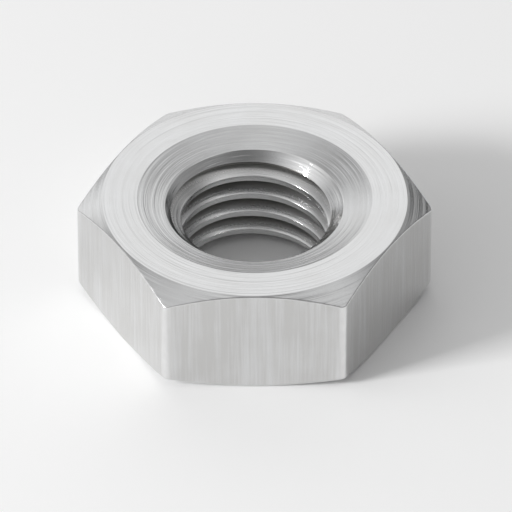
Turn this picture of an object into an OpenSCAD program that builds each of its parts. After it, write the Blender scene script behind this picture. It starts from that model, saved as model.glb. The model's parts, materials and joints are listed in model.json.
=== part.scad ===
// Hex machine screw nut: one piece of steel, chamfered on both faces, with a
// countersunk and tapped hole. Lengths are in millimetres and angles in degrees.
// The origin is the centre of the bearing face, and +Z runs up the hole.

/* [Hexagon] */
// Width across the flats, 9/16 in
across_flats = 14.29; // [13:0.01:17]
// Thickness from the bearing face to the top face
thickness = 5.35; // [4:0.05:8]
// Radius of the six upright edges
corner_r = 0.35; // [0.1:0.05:0.8]

/* [Chamfers] */
// Distance from the flats in to the circle of the top face
top_margin = 0.08; // [0.04:0.01:0.5]
// Slope of the top chamfer below the top face
top_chamfer_angle = 30; // [15:1:35]
// Distance from the flats in to the circle of the bearing face
bottom_margin = 0.08; // [0.04:0.01:0.5]
// Slope of the bottom chamfer above the bearing face
bottom_chamfer_angle = 20; // [10:1:35]

/* [Thread] */
// Major diameter of the thread, 5/16 in
thread_d = 7.94; // [6.5:0.01:8.5]
// Threads to the inch
threads_per_inch = 24; // [16:1:32]

/* [Countersinks] */
// Distance from the thread's major diameter out to the mouth of the hole
mouth_relief = 0.15; // [0.05:0.05:0.4]
// Slope of the lead-in from the mouth down to the bore
lead_in_angle = 45; // [30:1:55]
// Width of the shallow dish around the mouth
dish_width = 1.33; // [0.5:0.01:1.8]
// Slope of the dish below the top face
dish_angle = 17.5; // [8:0.5:30]
// Distance from the thread's major diameter out to the bottom countersink's rim
bottom_relief = 0.18; // [0.05:0.01:0.5]
// Slope of the bottom countersink above the bearing face
bottom_sink_angle = 30; // [20:1:45]

/* [Hidden] */
$fn = 96;

// A tool that cuts through a face passes it by this much
overcut = 1;

// A 60 degree thread is cut five eighths as deep as its sharp V
inch = 25.4;
pitch = inch / threads_per_inch;
thread_depth = 5 / 8 * pitch * sin(60);

// Radii of the hole, from the bore that is left between the thread's flanks
bore_r = thread_d / 2 - thread_depth;
mouth_r = thread_d / 2 + mouth_relief;
dish_r = mouth_r + dish_width;
bottom_sink_r = thread_d / 2 + bottom_relief;

// How far each step of the hole reaches in from its face
dish_depth = dish_width * tan(dish_angle);
lead_in_depth = dish_depth + (mouth_r - bore_r) * tan(lead_in_angle);
bottom_sink_depth = (bottom_sink_r - bore_r) * tan(bottom_sink_angle);

// Radii of the hexagon, to its flats and to its sharp corners
flat_r = across_flats / 2;
corner_reach = flat_r / cos(30);

// A corner's round has its centre at this share of its radius inside both flats,
// so that it crosses them at a slight angle and never only touches them
round_fit = 0.99;

// Hexagon with two flats square to Y and its six tips cut off round
module rounded_hexagon() {
    round_reach = corner_reach - corner_r * round_fit / cos(30);
    difference() {
        circle(corner_reach, $fn = 6);
        for (turn = [0:60:300])
            rotate(turn)
                translate([round_reach, 0])
                    corner_tip();
    }
}

// What is cut off one corner, with the centre of its round at the origin
module corner_tip() {
    difference() {
        translate([corner_r * cos(30), -corner_r])
            square(2 * corner_r);
        circle(corner_r);
    }
}

// The turned disc that both chamfers leave: its rims slope away from the circles
// of the two faces, out past the corners of the hexagon.
module chamfered_disc() {
    rim_r = corner_reach + overcut;
    top_r = flat_r - top_margin;
    bottom_r = flat_r - bottom_margin;
    top_fall = (rim_r - top_r) * tan(top_chamfer_angle);
    bottom_rise = (rim_r - bottom_r) * tan(bottom_chamfer_angle);
    rotate_extrude()
        polygon([
            [0, 0],
            [bottom_r, 0],
            [rim_r, bottom_rise],
            [rim_r, thickness - top_fall],
            [top_r, thickness],
            [0, thickness],
        ]);
}

// The hole, turned from its half section: bottom countersink, bore, lead-in and
// dish. The end cones run on past their faces at the same slope.
module hole() {
    rotate_extrude()
        polygon([
            [0, -overcut],
            [bottom_sink_r + overcut / tan(bottom_sink_angle), -overcut],
            [bore_r, bottom_sink_depth],
            [bore_r, thickness - lead_in_depth],
            [mouth_r, thickness - dish_depth],
            [dish_r + overcut / tan(dish_angle), thickness + overcut],
            [0, thickness + overcut],
        ]);
}

// The whole nut: the hexagon bar, chamfered and pierced
module nut() {
    color("silver")
        difference() {
            intersection() {
                linear_extrude(thickness)
                    rounded_hexagon();
                chamfered_disc();
            }
            hole();
        }
}

nut();
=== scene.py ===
from dataclasses import dataclass
from functools import partial
import json
import math

import bpy
import numpy as np
from bpy.props import FloatProperty, FloatVectorProperty, PointerProperty
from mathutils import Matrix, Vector


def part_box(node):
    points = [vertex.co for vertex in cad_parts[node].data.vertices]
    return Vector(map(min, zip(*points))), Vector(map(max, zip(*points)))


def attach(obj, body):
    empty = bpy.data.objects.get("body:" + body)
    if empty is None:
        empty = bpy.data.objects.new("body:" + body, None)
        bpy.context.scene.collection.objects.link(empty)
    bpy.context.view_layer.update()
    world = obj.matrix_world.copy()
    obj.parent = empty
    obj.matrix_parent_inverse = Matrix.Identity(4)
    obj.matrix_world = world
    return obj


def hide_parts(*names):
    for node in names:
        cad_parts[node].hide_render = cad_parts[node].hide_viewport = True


bl_info = {
    "name": "Hex Machine Screw Nut",
    "version": (1, 0, 0),
    "blender": (4, 5, 0),
    "location": "View3D > Sidebar > Nut",
    "description": "Makes a chamfered and tapped hex nut in satin zinc plate, on a pale studio floor",
    "category": "Add Mesh",
}

# The frame: lengths are in metres, and the nut stands on its bearing face with its axis on Z
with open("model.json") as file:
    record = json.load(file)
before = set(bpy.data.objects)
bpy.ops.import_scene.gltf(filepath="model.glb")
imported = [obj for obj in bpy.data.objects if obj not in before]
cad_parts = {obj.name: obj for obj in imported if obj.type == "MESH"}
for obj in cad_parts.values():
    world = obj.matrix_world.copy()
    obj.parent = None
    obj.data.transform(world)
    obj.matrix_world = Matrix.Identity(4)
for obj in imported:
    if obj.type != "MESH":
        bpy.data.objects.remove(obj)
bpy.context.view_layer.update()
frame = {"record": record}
nut_low, nut_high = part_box("nut")
thread_mount = next(mount for mount in frame["record"]["mounts"] if mount["name"] == "thread")
MM = 0.001

# Sides of the hexagon, and half of the angle that one of them takes up around the axis
SIDES = 6
HALF_SIDE = math.pi / SIDES

# Steps of the nut's mesh around the axis, in each rounded corner and along each flat
ROUND_STEPS = 10
FLAT_STEPS = 46

# Steps of the outer section, in each rounded edge and along its sides from lead-in to countersink
EDGE_STEPS = 5
SIDE_STEPS = (2, 8, 7, 6, 14, 6, 7, 2)

# Steps of the thread's profile, in each rounded edge and along its sides: the middle four make a turn
THREAD_EDGE_STEPS = 4
THREAD_SIDE_STEPS = (1, 2, 4, 2, 4, 1)
ROWS_PER_TURN = 4 * THREAD_EDGE_STEPS + sum(THREAD_SIDE_STEPS[1:5])

# Crowding of the steps towards both ends of a flat or a side: 0 is even and 1 is a cosine's
FLAT_CROWDING = 0.7
SIDE_CROWDING = 0.8

# Largest share of a side that the rounded edge at one end of it may take
EDGE_SHARE = 0.49

# Smooth shading stops at edges that turn by more than this
SHARP_ANGLE = math.radians(36)

# Turns of the thread that are made beyond each end of the hole, and then trimmed
SPARE_TURNS = 2

# The thread's rows are trimmed this far below the mouth and above the bearing face
TOP_TRIM = 0.06 * MM
BOTTOM_TRIM = 0.03 * MM

# A point of the thread that is nearer than this to the trim counts as trimmed
TRIM_SNAP = 0.012 * MM

# Numbers of four corners of the outer section, counted from the lower end of the lead-in
MOUTH, FLAT_TOP, FLAT_FOOT, SINK_RIM = 1, 4, 5, 7

# Reach of the polish beside an upright edge, as a multiple of half the angle of its round
UPRIGHT_REACH = 1.2

# Polish on the crest of the thread, and the depth over which it fades
CREST_POLISH = 0.6
CREST_FADE = 0.06 * MM

# Value that noise wavers around, and how much each finer layer of it adds
NOISE_MIDDLE = 0.5
NOISE_ROUGHNESS = 0.55

# Scales of the marks in the plate, in waves per millimetre along X, Y and Z or along every axis
STREAK_SCALE = (9, 9, 0.25)
BAND_SCALE = (1.6, 1.6, 0.12)
GRAIN_SCALE = 11
CLOUD_SCALE = 0.5
DENT_SCALE = 2.6

# Scale of the rings, in waves per millimetre out from the axis, and their wander on the way around it
RING_SCALE = 6
RING_WANDER = 0.7

# Share of clean plate on average, what the flats lose of it, and how far each mark moves it
CLEAN_SHARE = 0.6
FLAT_DULLING = 0.42
CLOUD_TINT = 0.8
STREAK_TINT = 1.5
BAND_TINT = 0.9
RING_TINT = 0.5

# Share of worn colour on an edge, and what the dents add to it
WEAR_SHARE = 0.36
DENT_WEAR = 0.72

# Power by which the painted shade in the thread's groove darkens with depth, and the share of the
# turning rings that fades out in the groove
GROOVE_SHADE_POWER = 1.5
GROOVE_RING_FADE = 0.7

# Roughness that each mark and place adds
CLOUD_ROUGHNESS = 0.16
GRAIN_ROUGHNESS = 0.12
STREAK_ROUGHNESS = 0.15
EDGE_ROUGHNESS = -0.06
CONE_ROUGHNESS = -0.09
GROOVE_ROUGHNESS = 0.16

# How far the studio's walls reach above and below their middle, in the Z of a unit direction
WALL_REACH = 0.28

# Steps of the floor's mesh, and its depth below the bearing face
FLOOR_RINGS = 12
FLOOR_SPOKES = 48
FLOOR_DROP = 0.01 * MM

# Distances between which the camera sees
CLIP_NEAR = 0.01
CLIP_FAR = 10


@dataclass
class Glow:
    """A patch of light in the studio.

    Its middle is given in degrees to the left of straight behind the nut and above the horizon. It
    fades with the cosine of the angle from there, raised to the power of its focus. One with negative
    radiance takes light away.
    """

    left: float
    rise: float
    focus: float
    radiance: float


REAR_WALL = Glow(left=-4, rise=38, focus=8, radiance=0.9)
CEILING = Glow(left=62, rise=83, focus=16, radiance=0.62)
LOW_STRIP = Glow(left=40, rise=15, focus=24, radiance=0.68)
LEFT_WINDOW = Glow(left=110, rise=32, focus=5, radiance=0.85)
RIGHT_FILL = Glow(left=-90, rise=62, focus=20, radiance=0.66)
FRONT_WALL = Glow(left=-150, rise=20, focus=6, radiance=0.22)
DARK_SCREEN = Glow(left=-36, rise=18, focus=30, radiance=-0.27)
GLOWS = (REAR_WALL, CEILING, LOW_STRIP, LEFT_WINDOW, RIGHT_FILL, FRONT_WALL, DARK_SCREEN)


class NutSizes(bpy.types.PropertyGroup):
    """Sizes of the nut. Its width, thickness and bore come from the frame."""

    across_flats: FloatProperty(
        name="Across flats",
        description="Width between two opposite flats",
        default=nut_high.y - nut_low.y,
        unit="LENGTH",
    )
    thickness: FloatProperty(
        name="Thickness",
        description="Height from the bearing face to the top face",
        default=nut_high.z - nut_low.z,
        unit="LENGTH",
    )
    corner_radius: FloatProperty(
        name="Corner radius",
        description="Radius of the six upright edges",
        default=0.35 * MM,
        unit="LENGTH",
    )
    face_margin: FloatProperty(
        name="Face margin",
        description="Distance from the flats in to the circles of both faces",
        default=0.08 * MM,
        unit="LENGTH",
    )
    top_chamfer: FloatProperty(
        name="Top chamfer",
        description="Slope of the top chamfer below the top face",
        default=math.radians(30),
        subtype="ANGLE",
    )
    bottom_chamfer: FloatProperty(
        name="Bottom chamfer",
        description="Slope of the bottom chamfer above the bearing face",
        default=math.radians(20),
        subtype="ANGLE",
    )
    thread_diameter: FloatProperty(
        name="Thread diameter",
        description="Major diameter of the thread, at the bottom of its groove",
        default=7.94 * MM,
        unit="LENGTH",
    )
    bore_radius: FloatProperty(
        name="Bore radius",
        description="Radius of the bore that is left between the turns of the groove",
        default=thread_mount["dims"]["r_mm"] * MM,
        unit="LENGTH",
    )
    pitch: FloatProperty(
        name="Pitch",
        description="Rise of the thread in one turn, for 24 turns to the inch",
        default=25.4 / 24 * MM,
        unit="LENGTH",
    )
    thread_start: FloatProperty(
        name="Thread start",
        description="Height of the lower edge of a thread crest above the bearing face, on the +X side",
        default=0.2 * MM,
        unit="LENGTH",
    )
    mouth_relief: FloatProperty(
        name="Mouth relief",
        description="Distance from the major diameter out to the mouth of the hole",
        default=0.15 * MM,
        unit="LENGTH",
    )
    lead_in: FloatProperty(
        name="Lead-in",
        description="Slope of the cone from the mouth down to the bore",
        default=math.radians(45),
        subtype="ANGLE",
    )
    dish_width: FloatProperty(
        name="Dish width",
        description="Width of the shallow dish around the mouth",
        default=1.33 * MM,
        unit="LENGTH",
    )
    dish_slope: FloatProperty(
        name="Dish slope",
        description="Slope of the dish below the top face",
        default=math.radians(17.5),
        subtype="ANGLE",
    )
    bottom_relief: FloatProperty(
        name="Bottom relief",
        description="Distance from the major diameter out to the rim of the bottom countersink",
        default=0.18 * MM,
        unit="LENGTH",
    )
    bottom_sink: FloatProperty(
        name="Bottom countersink",
        description="Slope of the bottom countersink above the bearing face",
        default=math.radians(30),
        subtype="ANGLE",
    )
    edge_radius: FloatProperty(
        name="Edge radius",
        description="Radius of the broken edges between the turned faces and the flats",
        default=0.09 * MM,
        unit="LENGTH",
    )
    thread_radius: FloatProperty(
        name="Thread radius",
        description="Radius of the edges of the thread's crest and root",
        default=0.035 * MM,
        unit="LENGTH",
    )


class NutFinish(bpy.types.PropertyGroup):
    """Colours, gloss and marks of the plated steel."""

    plate_color: FloatVectorProperty(
        name="Plate",
        description="Colour of the clean zinc plate",
        default=(0.79, 0.797, 0.806),
        subtype="COLOR",
    )
    dull_color: FloatVectorProperty(
        name="Dull plate",
        description="Colour of the cloudy patches in the plate",
        default=(0.62, 0.617, 0.61),
        subtype="COLOR",
    )
    worn_color: FloatVectorProperty(
        name="Worn edge",
        description="Colour of the edges that tumbling has polished",
        default=(0.86, 0.86, 0.86),
        subtype="COLOR",
    )
    # Painted shade: a dark colour that the thread's groove takes on towards its bottom
    groove_shade_color: FloatVectorProperty(
        name="Thread groove",
        description="Colour of the oily film at the bottom of the thread",
        default=(0.27, 0.264, 0.252),
        subtype="COLOR",
    )
    roughness: FloatProperty(
        name="Roughness",
        description="Roughness of the clean plate",
        default=0.2,
        subtype="FACTOR",
    )
    ring_depth: FloatProperty(
        name="Turning marks",
        description="Depth of the fine rings on the turned faces",
        default=0.03 * MM,
        unit="LENGTH",
    )
    streak_depth: FloatProperty(
        name="Draw marks",
        description="Depth of the upright streaks on the flats",
        default=0.02 * MM,
        unit="LENGTH",
    )
    grain_depth: FloatProperty(
        name="Plate grain",
        description="Depth of the fine grain all over the plate",
        default=0.0015 * MM,
        unit="LENGTH",
    )


class NutStudio(bpy.types.PropertyGroup):
    """Camera, floor and light."""

    elevation: FloatProperty(
        name="Elevation",
        description="Height of the camera above the horizon",
        default=math.radians(39.4),
        subtype="ANGLE",
    )
    view_width: FloatProperty(
        name="View width",
        description="Width of the picture at the nut",
        default=23.65 * MM,
        unit="LENGTH",
    )
    aim: FloatVectorProperty(
        name="Aim",
        description="Point in the middle of the picture",
        default=(0.069 * MM, -1.696 * MM, 3.285 * MM),
        subtype="TRANSLATION",
        unit="LENGTH",
    )
    distance: FloatProperty(
        name="Distance",
        description="Distance from the camera to that point",
        default=394 * MM,
        unit="LENGTH",
    )
    floor_color: FloatVectorProperty(
        name="Floor",
        description="Colour of the floor",
        default=(0.97, 0.97, 0.97),
        subtype="COLOR",
    )
    floor_radius: FloatProperty(
        name="Floor radius",
        description="Radius of the floor",
        default=1.5,
        unit="LENGTH",
    )
    ambient: FloatProperty(
        name="Ambient",
        description="Radiance of the whole studio",
        default=0.1,
    )
    wall_radiance: FloatProperty(
        name="Wall radiance",
        description="Radiance that the walls add all around, most of all at the middle of their height",
        default=0.22,
    )
    wall_rise: FloatProperty(
        name="Wall rise",
        description="Height of the middle of the walls above the horizon",
        default=math.radians(22),
        subtype="ANGLE",
    )
    key_radiance: FloatProperty(
        name="Key radiance",
        description="Radiance of the soft lamp at the left front",
        default=40,
    )
    key_left: FloatProperty(
        name="Key left",
        description="Angle of the soft lamp to the left of straight behind the nut",
        default=math.radians(112),
        subtype="ANGLE",
    )
    key_rise: FloatProperty(
        name="Key rise",
        description="Height of the soft lamp above the horizon",
        default=math.radians(25),
        subtype="ANGLE",
    )
    key_size: FloatProperty(
        name="Key size",
        description="Width of the soft lamp",
        default=100 * MM,
        unit="LENGTH",
    )
    key_distance: FloatProperty(
        name="Key distance",
        description="Distance from the lamp to the nut",
        default=400 * MM,
        unit="LENGTH",
    )


class Wire:
    """One output socket of a node tree. Arithmetic on it adds Math nodes to the tree."""

    def __init__(self, socket):
        self.socket = socket

    @classmethod
    def node(cls, tree, kind, settings=None, sockets=None, output=0):
        """Adds a node, makes its settings, fills its sockets with values or links, wraps one output."""
        made = tree.nodes.new(kind)
        for name, value in (settings or {}).items():
            setattr(made, name, value)
        for name, value in (sockets or {}).items():
            if isinstance(value, Wire):
                tree.links.new(value.socket, made.inputs[name])
            else:
                made.inputs[name].default_value = value
        return cls(made.outputs[output]) if len(made.outputs) else None

    def math(self, operation, *values):
        """Adds a Math node on the given values, of which this socket is one."""
        tree = self.socket.id_data
        return self.node(tree, "ShaderNodeMath", {"operation": operation}, dict(enumerate(values)))

    def __add__(self, other):
        return self.math("ADD", self, other)

    def __radd__(self, other):
        return self.math("ADD", other, self)

    def __sub__(self, other):
        return self.math("SUBTRACT", self, other)

    def __rsub__(self, other):
        return self.math("SUBTRACT", other, self)

    def __mul__(self, other):
        return self.math("MULTIPLY", self, other)

    def __rmul__(self, other):
        return self.math("MULTIPLY", other, self)

    def __pow__(self, other):
        return self.math("POWER", self, other)

    def __rpow__(self, other):
        return self.math("POWER", other, self)


def off_corner(angle):
    """Angle from the nearest corner of the hexagon, of which one is on +X."""
    return np.abs((angle + HALF_SIDE) % (2 * HALF_SIDE) - HALF_SIDE)


def corner_half_angle(flat_r, corner_r):
    """Half the angle that a corner's round takes up, seen from the axis."""
    centre = (flat_r - corner_r) / math.cos(HALF_SIDE)
    return math.atan2(corner_r * math.sin(HALF_SIDE), centre + corner_r * math.cos(HALF_SIDE))


def hexagon_radius(angle, flat_r, corner_r):
    """Distance from the axis to a hexagon with round corners, one of them on +X.

    On a flat it is the flat's distance over the cosine of the angle from the flat's middle. In a corner
    it is the far crossing of the ray with the corner's circle, which touches both flats.
    """
    turn = off_corner(angle)
    centre = (flat_r - corner_r) / math.cos(HALF_SIDE)
    on_flat = flat_r / np.cos(HALF_SIDE - turn)
    across = np.clip(corner_r**2 - (centre * np.sin(turn)) ** 2, 0, None)
    on_round = centre * np.cos(turn) + np.sqrt(across)
    return np.where(turn < corner_half_angle(flat_r, corner_r), on_round, on_flat)


def graded(steps, crowding):
    """Steps from 0 to 1 that crowd towards both ends by a share of a cosine's spacing."""
    even = np.linspace(0, 1, steps + 1)
    return (1 - crowding) * even + crowding * (1 - np.cos(math.pi * even)) / 2


def column_angles(flat_r, corner_r):
    """Angles of the mesh's columns: close together in each corner's round and wider along each flat."""
    half = corner_half_angle(flat_r, corner_r)
    in_round = -half + 2 * half * np.linspace(0, 1, ROUND_STEPS, endpoint=False)
    on_flat = half + (2 * HALF_SIDE - 2 * half) * graded(FLAT_STEPS, FLAT_CROWDING)[:-1]
    one_side = np.concatenate([in_round, on_flat])
    return (one_side + np.arange(SIDES)[:, None] * 2 * HALF_SIDE).ravel()


def round_corner(before, corner, after, radius, steps):
    """Rows of an arc in place of the corner between two sides of a section.

    A rational quadratic curve runs from one side to the other, between points at the same distance from
    the corner. The corner is its middle control point, weighted by the sine of half the opening, which
    makes the curve a circle's arc.
    """
    back, ahead = before - corner, after - corner
    back_length = np.linalg.norm(back, axis=-1, keepdims=True)
    ahead_length = np.linalg.norm(ahead, axis=-1, keepdims=True)
    back, ahead = back / back_length, ahead / ahead_length
    opening = np.arccos(np.clip((back * ahead).sum(-1, keepdims=True), -1, 1))
    longest = EDGE_SHARE * np.minimum(back_length, ahead_length)
    reach = np.minimum(radius / np.tan(opening / 2), longest)
    t = np.linspace(0, 1, steps + 1)[:, None, None]
    first, middle, last = (1 - t) ** 2, 2 * t * (1 - t) * np.sin(opening / 2), t**2
    total = first * (corner + back * reach) + middle * corner + last * (corner + ahead * reach)
    return total / (first + middle + last)


def rounded_section(corners, radius, arc_steps, side_steps):
    """Rows along a section whose inner corners are rounded, and each row's place along it.

    corners has one row of (radius, height) pairs for each corner. A row's place is a corner's number at
    the middle of that corner's arc. It grows evenly by one along the arc, and stays the same along a
    side.
    """
    rows, places = [corners[:1]], [np.full(1, 0.5)]
    for number in range(1, len(corners) - 1):
        before, corner, after = corners[number - 1 : number + 2]
        arc = round_corner(before, corner, after, radius, arc_steps)
        side_start = rows[-1][-1]
        share = graded(side_steps[number - 1], SIDE_CROWDING)[1:-1, None, None]
        rows += [side_start + (arc[0] - side_start) * share, arc]
        places += [np.full(len(share), number - 0.5), number - 0.5 + np.linspace(0, 1, arc_steps + 1)]
    side_start = rows[-1][-1]
    share = graded(side_steps[-1], SIDE_CROWDING)[1:, None, None]
    rows.append(side_start + (corners[-1] - side_start) * share)
    places.append(np.full(len(share), len(corners) - 1.5))
    return np.concatenate(rows), np.concatenate(places)


def mouth(sizes):
    """Radius and height of the hole's mouth, at the foot of the dish."""
    radius = sizes.thread_diameter / 2 + sizes.mouth_relief
    return radius, sizes.thickness - sizes.dish_width * math.tan(sizes.dish_slope)


def sink_radius(sizes):
    """Radius of the bottom countersink's rim."""
    return sizes.thread_diameter / 2 + sizes.bottom_relief


def end_cones(sizes, z):
    """Radius of the wider of the hole's end cones at a height: the lead-in or the countersink."""
    mouth_r, mouth_z = mouth(sizes)
    lead_in = mouth_r - (mouth_z - z) / math.tan(sizes.lead_in)
    return np.maximum(lead_in, sink_radius(sizes) - z / math.tan(sizes.bottom_sink))


def thread_ends(sizes):
    """Heights of the bottom and the top at which the thread's rows are trimmed."""
    return BOTTOM_TRIM, mouth(sizes)[1] - TOP_TRIM


def outer_section(sizes, angle):
    """Rows of (radius, height) from the lead-in over the outside to the countersink, and their places.

    The chamfers are cones, so their outer ends lie lower or higher where the hexagon is wider.
    """
    wall_r = hexagon_radius(angle, sizes.across_flats / 2, sizes.corner_radius)
    face_r = sizes.across_flats / 2 - sizes.face_margin
    height = sizes.thickness
    mouth_r, mouth_z = mouth(sizes)
    bottom, top = thread_ends(sizes)
    even = np.ones(len(angle))
    section = [
        (end_cones(sizes, top) * even, top * even),
        (mouth_r * even, mouth_z * even),
        ((mouth_r + sizes.dish_width) * even, height * even),
        (face_r * even, height * even),
        (wall_r, height - (wall_r - face_r) * math.tan(sizes.top_chamfer)),
        (wall_r, (wall_r - face_r) * math.tan(sizes.bottom_chamfer)),
        (face_r * even, 0 * even),
        (sink_radius(sizes) * even, 0 * even),
        (end_cones(sizes, bottom) * even, bottom * even),
    ]
    corners = np.array([np.stack(pair, -1) for pair in section])
    return rounded_section(corners, sizes.edge_radius, EDGE_STEPS, SIDE_STEPS)


def past_corner(place, corner):
    """0 along a section before a corner's arc, 1 after it, and an even climb in between."""
    return np.clip(place - corner + 0.5, 0, 1)


def outer_fields(place, angle, half):
    """What the finish needs to know of the outer rows: rounded edges, flats and the hole's end cones.

    The polish beside an upright edge falls off as a bell curve of the angle from its corner, whose round
    takes up half on either side.
    """
    arc = np.clip(1 - 2 * np.abs(place - np.round(place)), 0, 1)
    wall = past_corner(place, FLAT_TOP) * (1 - past_corner(place, FLAT_FOOT))
    cone = 1 - past_corner(place, MOUTH) + past_corner(place, SINK_RIM)
    upright = np.exp(-((off_corner(angle) / (UPRIGHT_REACH * half)) ** 2))
    even = np.ones(len(angle))
    return {
        "edge": np.maximum(arc[:, None], wall[:, None] * upright),
        "flat": wall[:, None] * even,
        "cone": cone[:, None] * even,
        "groove": 0 * wall[:, None] * even,
    }


def moves_to_crossing(gap, heights):
    """How far each row of a grid climbs or sinks in each column to lie where a gap closes.

    Between two rows whose gaps have opposite signs, the gap is zero at a share of the step that is the
    first gap over the difference of both. The row nearer to that place moves there, and the other rows
    stay.
    """
    crossed = (gap[:-1] < 0) != (gap[1:] < 0)
    share = gap[:-1] / np.where(crossed, gap[:-1] - gap[1:], 1)
    step = np.diff(heights, axis=0)
    climb, sink = np.zeros(gap.shape), np.zeros(gap.shape)
    climb[:-1] = np.where(crossed & (share < 0.5), share * step, 0)
    sink[1:] = np.where(crossed & (share >= 0.5), (share - 1) * step, 0)
    return np.where(climb == 0, sink, climb)


def thread_profile(bore_r, major_r, pitch, radius):
    """One pitch of a 60 degree thread as heights and radii, from the start of a crest.

    The crest is a quarter of the pitch wide and the root an eighth, the flanks share the rest, and every
    corner is rounded.
    """
    crest, root = pitch / 4, pitch / 8
    flank = (pitch - crest - root) / 2
    heights = np.cumsum([-flank, flank, crest, flank, root, flank, crest])
    radii = np.array([major_r, bore_r, bore_r, major_r, major_r, bore_r, bore_r])
    corners = np.stack([radii, heights], -1)[:, None, :]
    rows, _ = rounded_section(corners, radius, THREAD_EDGE_STEPS, THREAD_SIDE_STEPS)
    turn = rows[1 : 1 + ROWS_PER_TURN, 0]
    return turn[:, 1], turn[:, 0]


def thread_rows(sizes, angle):
    """Radii and heights of the thread's rows, which points lie on its cut ends, and its fields.

    A row climbs by one pitch in a turn. Its radius is the profile's, or that of the end cones where they
    are wider. The rows nearest to the line where the cones cut the profile move onto it.
    """
    pitch, bore_r, major_r = sizes.pitch, sizes.bore_radius, sizes.thread_diameter / 2
    step_z, step_r = thread_profile(bore_r, major_r, pitch, sizes.thread_radius)
    first_turn = math.floor((BOTTOM_TRIM - sizes.thread_start) / pitch) - SPARE_TURNS
    turns = np.arange(first_turn, math.ceil(sizes.thickness / pitch) + SPARE_TURNS)
    start = sizes.thread_start + (turns[:, None] * pitch + step_z).ravel()[:, None]
    height = start + pitch * angle / (2 * math.pi)
    profile_r = np.tile(step_r, len(turns))[:, None] + 0 * angle
    move = moves_to_crossing(profile_r - end_cones(sizes, height), height)
    on_cut = move != 0
    height = height + move
    cone_r = end_cones(sizes, height)
    radius = np.where(on_cut, cone_r, np.maximum(profile_r, cone_r))
    depth = (profile_r - np.maximum(cone_r, bore_r)) / (major_r - bore_r)
    crest = np.clip(1 - np.abs(radius - bore_r) / CREST_FADE, 0, 1)
    fields = {
        "edge": CREST_POLISH * crest,
        "flat": 0 * crest,
        "cone": radius == cone_r,
        "groove": np.clip(depth, 0, 1),
    }
    return radius, height, on_cut, fields


def grid_quads(number, after):
    """Quads between the rows of a grid of point numbers, and the same grid turned on by one column."""
    return np.stack([number[:-1], number[1:], after[1:], after[:-1]], -1).reshape(-1, 4)


def trimmed_faces(quads, marked):
    """Faces of a grid of quads in which some points are the same.

    A quad with one pair of equal neighbours becomes a triangle, and one with more is left out. A quad
    with a marked point at two opposite corners becomes two triangles that meet between them.
    """
    same = quads == np.roll(quads, -1, 1)
    opposite = (quads[:, 0] == quads[:, 2]) | (quads[:, 1] == quads[:, 3])
    whole = quads[(same.sum(1) == 0) & ~opposite]
    folded = (same.sum(1) == 1) & ~opposite
    triangles = [quads[folded][~same[folded]].reshape(-1, 3)]
    on = marked[whole]
    first = on[:, 0] & on[:, 2] & ~on[:, 1] & ~on[:, 3]
    second = on[:, 1] & on[:, 3] & ~on[:, 0] & ~on[:, 2]
    for chosen, corners in ((first, ([0, 1, 2], [0, 2, 3])), (second, ([0, 1, 3], [1, 2, 3]))):
        triangles += [whole[chosen][:, three] for three in corners]
    return whole[~first & ~second].tolist() + np.concatenate(triangles).tolist()


def nut_surface(sizes):
    """Points, faces and painted fields of the whole nut as one closed surface.

    Columns run around the axis and rows around the section, first outside and then along the thread. A
    row of the thread climbs by one pitch in a turn, so where the columns close it meets the next turn's
    row. The thread is trimmed at both ends of the hole, where it meets the first and the last of the
    outer rows.
    """
    flat_r = sizes.across_flats / 2
    angle = column_angles(flat_r, sizes.corner_radius)
    outer, place = outer_section(sizes, angle)
    thread_r, thread_z, on_cut, thread_fields = thread_rows(sizes, angle)
    bottom, top = thread_ends(sizes)
    over = thread_z > top - TRIM_SNAP
    under = thread_z < bottom + TRIM_SNAP
    inside = ~(over | under)

    # Numbers of the grid's points: a trimmed point is the end row's point in its column
    rows, columns = outer.shape[:2]
    outer_number = np.arange(rows * columns).reshape(rows, columns)
    thread_number = rows * columns + np.cumsum(inside).reshape(inside.shape) - 1
    thread_number = np.where(over, outer_number[0], thread_number)
    thread_number = np.where(under, outer_number[-1], thread_number)

    radius = np.concatenate([outer[..., 0].ravel(), thread_r[inside]])
    z = np.concatenate([outer[..., 1].ravel(), thread_z[inside]])
    turned = np.concatenate([np.tile(angle, rows), np.broadcast_to(angle, inside.shape)[inside]])
    points = np.stack([radius * np.cos(turned), radius * np.sin(turned), z], -1)

    # Faces: rows close on themselves outside, and one turn higher in the thread up to its trimmed end
    outer_next = np.roll(outer_number, -1, 1)
    thread_next = np.roll(thread_number, -1, 1)
    thread_next[:-ROWS_PER_TURN, -1] = thread_number[ROWS_PER_TURN:, 0]
    thread_next[-ROWS_PER_TURN:, -1] = thread_number[-1, 0]
    outer_quads = grid_quads(outer_number, outer_next)
    quads = np.concatenate([outer_quads, grid_quads(thread_number, thread_next)])
    marked = np.concatenate([np.zeros(rows * columns, bool), on_cut[inside]])

    half = corner_half_angle(flat_r, sizes.corner_radius)
    fields = {
        name: np.concatenate([values.ravel(), thread_fields[name][inside]])
        for name, values in outer_fields(place, angle, half).items()
    }
    return points, trimmed_faces(quads, marked), fields


def mesh_object(name, points, faces, fields):
    """A smooth mesh object at the origin, with one number per point for each field."""
    mesh = bpy.data.meshes.new(name)
    mesh.from_pydata(points.tolist(), [], faces)
    if mesh.validate():
        raise RuntimeError(f"the mesh of {name} has faulty faces")
    mesh.polygons.foreach_set("use_smooth", np.ones(len(mesh.polygons), bool))
    mesh.set_sharp_from_angle(angle=SHARP_ANGLE)
    for field, values in fields.items():
        layer = mesh.attributes.new(field, "FLOAT", "POINT")
        layer.data.foreach_set("value", values.astype(np.float32))
    piece = bpy.data.objects.new(name, mesh)
    bpy.context.scene.collection.objects.link(piece)
    return piece


def new_material(name):
    """An empty node material and its tree."""
    material = bpy.data.materials.new(name)
    material.use_nodes = True
    material.node_tree.nodes.clear()
    return material, material.node_tree


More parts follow.
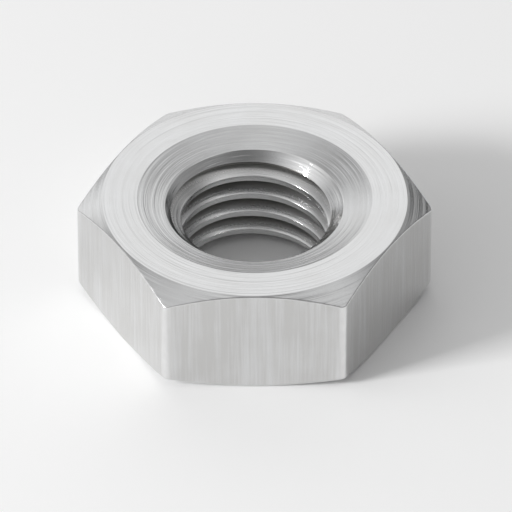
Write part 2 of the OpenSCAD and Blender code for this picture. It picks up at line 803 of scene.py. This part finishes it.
def zinc_plate(finish):
    """Satin zinc plate with turned rings, drawn streaks, bright edges and painted shade in the thread's
    groove.
    """
    material, tree = new_material("zinc_plate")
    node = partial(Wire.node, tree)

    def field(name):
        return node("ShaderNodeAttribute", {"attribute_name": name}, output="Fac")

    def noise(vector, scale, detail):
        sockets = {"Vector": vector, "Scale": scale, "Detail": detail}
        sockets["Roughness"] = NOISE_ROUGHNESS
        return node("ShaderNodeTexNoise", {"noise_dimensions": "3D"}, sockets, "Fac")

    def vector_math(operation, *values, output="Vector"):
        return node("ShaderNodeVectorMath", {"operation": operation}, dict(enumerate(values)), output)

    # Inputs 6 and 7 and output 2 of a Mix node are its colours
    def blend(factor, first, second):
        return node("ShaderNodeMix", {"data_type": "RGBA"}, {0: factor, 6: first, 7: second}, 2)

    def rgb(color):
        return (*color, 1)

    # Place on the nut in millimetres, its distance from the axis and its direction from there
    in_metres = node("ShaderNodeTexCoord", output="Object")
    place = vector_math("MULTIPLY", in_metres, (1 / MM, 1 / MM, 1 / MM))
    level = vector_math("MULTIPLY", place, (1, 1, 0))
    radius = vector_math("LENGTH", level, output="Value")
    toward = vector_math("NORMALIZE", level)
    toward_x = node("ShaderNodeSeparateXYZ", sockets={0: toward}, output="X")
    toward_y = node("ShaderNodeSeparateXYZ", sockets={0: toward}, output="Y")
    edge, flat, cone, groove = field("edge"), field("flat"), field("cone"), field("groove")

    ring_sockets = {0: radius * RING_SCALE, 1: toward_x * RING_WANDER, 2: toward_y * RING_WANDER}
    rings = noise(node("ShaderNodeCombineXYZ", sockets=ring_sockets), scale=1, detail=3)
    streaks = noise(vector_math("MULTIPLY", place, STREAK_SCALE), scale=1, detail=4)
    bands = noise(vector_math("MULTIPLY", place, BAND_SCALE), scale=1, detail=2)
    grain = noise(place, GRAIN_SCALE, detail=2)
    clouds = noise(place, CLOUD_SCALE, detail=4)
    dents = noise(place, DENT_SCALE, detail=2)
    cloudy, streaky = clouds - NOISE_MIDDLE, streaks - NOISE_MIDDLE
    open_grain = (grain - NOISE_MIDDLE) * (1 - groove)
    open_rings = rings * (1 - flat) * (1 - GROOVE_RING_FADE * groove)

    # Colour: dull to clean plate, then worn edges, then painted shade that darkens the thread's groove
    # with depth
    drawn = STREAK_TINT * streaky + BAND_TINT * (bands - NOISE_MIDDLE) - FLAT_DULLING
    turned = RING_TINT * (rings - NOISE_MIDDLE)
    clean = CLEAN_SHARE + CLOUD_TINT * cloudy + drawn * flat + turned * (1 - flat)
    plate = blend(clean, rgb(finish.dull_color), rgb(finish.plate_color))
    plate = blend(edge * (WEAR_SHARE + DENT_WEAR * dents), plate, rgb(finish.worn_color))
    # Painted shade: the thread's groove darkens towards its bottom
    plate = blend(groove**GROOVE_SHADE_POWER, plate, rgb(finish.groove_shade_color))

    # Roughness
    gloss = finish.roughness + CLOUD_ROUGHNESS * cloudy + GRAIN_ROUGHNESS * open_grain
    gloss = gloss + STREAK_ROUGHNESS * streaky * flat + EDGE_ROUGHNESS * edge
    gloss = gloss + CONE_ROUGHNESS * cone + GROOVE_ROUGHNESS * groove

    # Height of the marks in millimetres
    height = open_rings * (finish.ring_depth / MM) + streaks * flat * (finish.streak_depth / MM)
    height = height + open_grain * (finish.grain_depth / MM)
    bump_sockets = {"Strength": 1, "Distance": MM, "Height": height}
    bump = node("ShaderNodeBump", sockets=bump_sockets, output="Normal")

    shader_sockets = {"Base Color": plate, "Metallic": 1, "Roughness": gloss, "Normal": bump}
    shader = node("ShaderNodeBsdfPrincipled", sockets=shader_sockets)
    node("ShaderNodeOutputMaterial", sockets={"Surface": shader})
    return material


def floor_paint(color):
    """Plain matt floor."""
    material, tree = new_material("floor_paint")
    shader = Wire.node(tree, "ShaderNodeBsdfDiffuse", sockets={"Color": (*color, 1)})
    Wire.node(tree, "ShaderNodeOutputMaterial", sockets={"Surface": shader})
    return material


def floor_surface(radius):
    """A flat disc just under the nut, as rings of points whose radii grow as squares from its middle."""
    reach, turn = np.meshgrid(
        radius * np.linspace(0, 1, FLOOR_RINGS + 1)[1:] ** 2,
        np.linspace(0, 2 * math.pi, FLOOR_SPOKES, endpoint=False),
        indexing="ij",
    )
    level = np.full(reach.shape, -FLOOR_DROP)
    ring_points = np.stack([reach * np.cos(turn), reach * np.sin(turn), level], -1).reshape(-1, 3)
    points = np.concatenate([[[0, 0, -FLOOR_DROP]], ring_points])
    number = 1 + np.arange(reach.size).reshape(reach.shape)
    after = np.roll(number, -1, 1)
    middle = np.stack([np.zeros(FLOOR_SPOKES, int), number[0], after[0]], -1)
    return points, grid_quads(number, after).tolist() + middle.tolist()


def direction(left, rise):
    """Unit vector at an angle to the left of straight behind the nut and at one above the horizon."""
    return Vector((-math.sin(left) * math.cos(rise), math.cos(left) * math.cos(rise), math.sin(rise)))


def studio_world(studio):
    """Soft light from all around: an even level, a band of walls and the glows.

    The walls' radiance falls off from the middle of their height as a parabola of the direction's Z.
    """
    world = bpy.data.worlds.new("studio_world")
    world.use_nodes = True
    world.node_tree.nodes.clear()
    node = partial(Wire.node, world.node_tree)

    toward = node("ShaderNodeTexCoord", output="Generated")
    upward = node("ShaderNodeSeparateXYZ", sockets={0: toward}, output="Z")
    off_middle = (upward - math.sin(studio.wall_rise)) * (1 / WALL_REACH)
    walls = 1 - off_middle * off_middle
    level = studio.ambient + studio.wall_radiance * walls.math("MAXIMUM", walls, 0)
    for glow in GLOWS:
        middle = direction(math.radians(glow.left), math.radians(glow.rise))
        sockets = {0: toward, 1: middle}
        facing = node("ShaderNodeVectorMath", {"operation": "DOT_PRODUCT"}, sockets, "Value")
        level = level + glow.radiance * facing.math("MAXIMUM", facing, 0) ** glow.focus
    light = node("ShaderNodeBackground", sockets={"Color": (1, 1, 1, 1), "Strength": level})
    node("ShaderNodeOutputWorld", sockets={"Surface": light})
    return world


def soft_lamp(studio):
    """Square lamp at the left front that faces the nut. Its power is pi times area times radiance."""
    lamp = bpy.data.lights.new("key_lamp", "AREA")
    lamp.shape = "SQUARE"
    lamp.size = studio.key_size
    lamp.energy = studio.key_radiance * math.pi * studio.key_size**2
    holder = bpy.data.objects.new("key_lamp", lamp)
    out = direction(studio.key_left, studio.key_rise)
    holder.location = out * studio.key_distance
    holder.rotation_mode = "QUATERNION"
    holder.rotation_quaternion = out.to_track_quat("Z", "Y")
    return holder


def front_camera(studio):
    """Camera in front of the nut that looks down on it through a long lens."""
    lens = bpy.data.cameras.new("camera")
    lens.lens = lens.sensor_width * studio.distance / studio.view_width
    lens.clip_start = CLIP_NEAR
    lens.clip_end = CLIP_FAR
    camera = bpy.data.objects.new("camera", lens)
    back = direction(math.pi, studio.elevation)
    camera.location = Vector(studio.aim) + back * studio.distance
    camera.rotation_mode = "QUATERNION"
    camera.rotation_quaternion = back.to_track_quat("Z", "Y")
    return camera


class NUT_OT_make_nut(bpy.types.Operator):
    """Make the nut with its thread and its plated finish"""

    bl_idname = "nut.make_nut"
    bl_label = "Make nut"

    def execute(self, context):
        points, faces, fields = nut_surface(context.scene.nut_sizes)
        nut = mesh_object("threaded_nut", points, faces, fields)
        nut.data.materials.append(zinc_plate(context.scene.nut_finish))
        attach(nut, "root")
        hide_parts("nut")
        return {"FINISHED"}


class NUT_OT_set_stage(bpy.types.Operator):
    """Set the camera, the floor and the soft light"""

    bl_idname = "nut.set_stage"
    bl_label = "Set stage"

    def execute(self, context):
        scene, studio = context.scene, context.scene.nut_studio
        camera = front_camera(studio)
        scene.collection.objects.link(camera)
        scene.camera = camera

        points, faces = floor_surface(studio.floor_radius)
        floor = mesh_object("floor", points, faces, {})
        floor.data.materials.append(floor_paint(studio.floor_color))

        scene.world = studio_world(studio)
        scene.collection.objects.link(soft_lamp(studio))
        scene.view_settings.view_transform = "Standard"
        return {"FINISHED"}


class NUT_PT_sidebar(bpy.types.Panel):
    """Lists the nut's sizes, finish and stage"""

    bl_idname = "NUT_PT_sidebar"
    bl_label = "Hex nut"
    bl_space_type = "VIEW_3D"
    bl_region_type = "UI"
    bl_category = "Nut"

    def draw(self, context):
        scene = context.scene
        for settings, operator in (
            (scene.nut_sizes, NUT_OT_make_nut),
            (scene.nut_finish, NUT_OT_make_nut),
            (scene.nut_studio, NUT_OT_set_stage),
        ):
            box = self.layout.box()
            for name in type(settings).__annotations__:
                box.prop(settings, name)
            box.operator(operator.bl_idname)


CLASSES = (NutSizes, NutFinish, NutStudio, NUT_OT_make_nut, NUT_OT_set_stage, NUT_PT_sidebar)


def register():
    for each in CLASSES:
        bpy.utils.register_class(each)
    bpy.types.Scene.nut_sizes = PointerProperty(type=NutSizes)
    bpy.types.Scene.nut_finish = PointerProperty(type=NutFinish)
    bpy.types.Scene.nut_studio = PointerProperty(type=NutStudio)


def unregister():
    del bpy.types.Scene.nut_studio
    del bpy.types.Scene.nut_finish
    del bpy.types.Scene.nut_sizes
    for each in reversed(CLASSES):
        bpy.utils.unregister_class(each)


def main():
    register()
    bpy.ops.nut.make_nut()
    bpy.ops.nut.set_stage()


if __name__ == "__main__":
    main()
